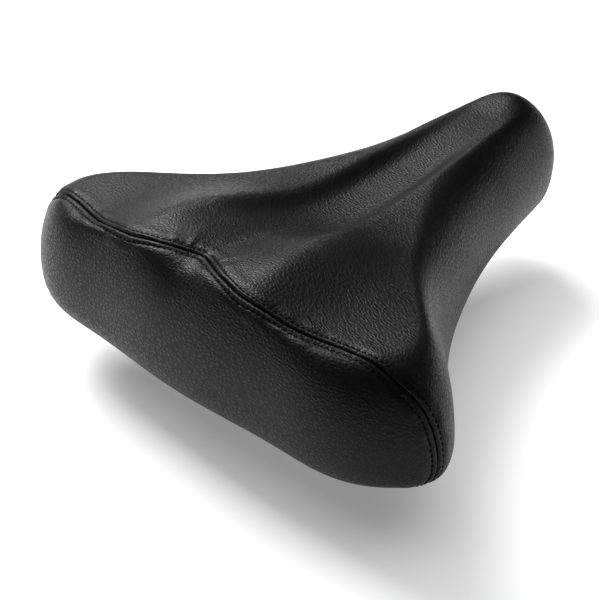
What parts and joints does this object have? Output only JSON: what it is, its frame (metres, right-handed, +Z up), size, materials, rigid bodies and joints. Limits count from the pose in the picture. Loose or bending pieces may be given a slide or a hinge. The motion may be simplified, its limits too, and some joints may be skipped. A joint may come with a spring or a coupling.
{
  "type": "bicycle saddle",
  "caption": "Wide cruiser bicycle saddle with grained black vinyl cover, rear panel, centre groove, bent-wire rails and a clamp for a straight seatpost.",
  "frame": {"origin": "on the seatpost's axis in the middle of the clamp band's height, level with the cross bolt", "axes": "+X towards the saddle's nose, +Y to the rider's left, +Z up; the post leaves along -Z"},
  "size_m": [0.27, 0.261, 0.1071],
  "materials": {
    "vinyl_black": "black grained vinyl, semi-gloss",
    "foam": "open-cell polyurethane foam",
    "shell_plastic": "moulded polypropylene, fine texture",
    "black_steel": "black stove enamel",
    "zinc_steel": "bright zinc plate",
    "elastomer": "moulded elastomer",
    "brass": "turned brass"
  },
  "bodies": {
    "post_clamp": {"post_band": "zinc_steel", "cross_bolt": "zinc_steel", "cross_washer_left": "zinc_steel", "cross_washer_right": "zinc_steel", "cross_nut_left": "zinc_steel", "cross_nut_right": "zinc_steel"},
    "clamp_head": {"inner_plate_left": "zinc_steel", "inner_plate_right": "zinc_steel", "outer_plate_left": "zinc_steel", "outer_plate_right": "zinc_steel"},
    "undercarriage": {"rail_wire": "black_steel", "rear_bridge": "black_steel", "bumper_left": "elastomer", "bumper_right": "elastomer"},
    "seat": {"top_cover": "vinyl_black", "rear_cover": "vinyl_black", "foam_pad": "foam", "base_shell": "shell_plastic", "nose_block": "shell_plastic", "cover_staples": "zinc_steel", "nose_bracket": "black_steel", "nose_bracket_screws": "zinc_steel", "shell_inserts": "brass", "bumper_cups": "zinc_steel", "bumper_bolts": "zinc_steel", "bumper_bolt_washers": "zinc_steel"}
  },
  "joints": [
    {"name": "clamp_tilt", "type": "hinge", "parent": "post_clamp", "child": "clamp_head", "pos_m": [-0.028, 0, 0], "axis": [0, 1, 0], "range_deg": [-15, 15]},
    {"name": "rail_slide", "type": "slide", "parent": "clamp_head", "child": "undercarriage", "axis": [1, 0, 0], "range_m": [-0.015, 0.015]},
    {"name": "suspension", "type": "hinge", "parent": "undercarriage", "child": "seat", "pos_m": [0.074, 0, 0.046], "axis": [0, -1, 0], "range_deg": [0, 3], "stiffness_Nm_per_rad": 2500, "deforming": ["bumper_left", "bumper_right"]}
  ]
}
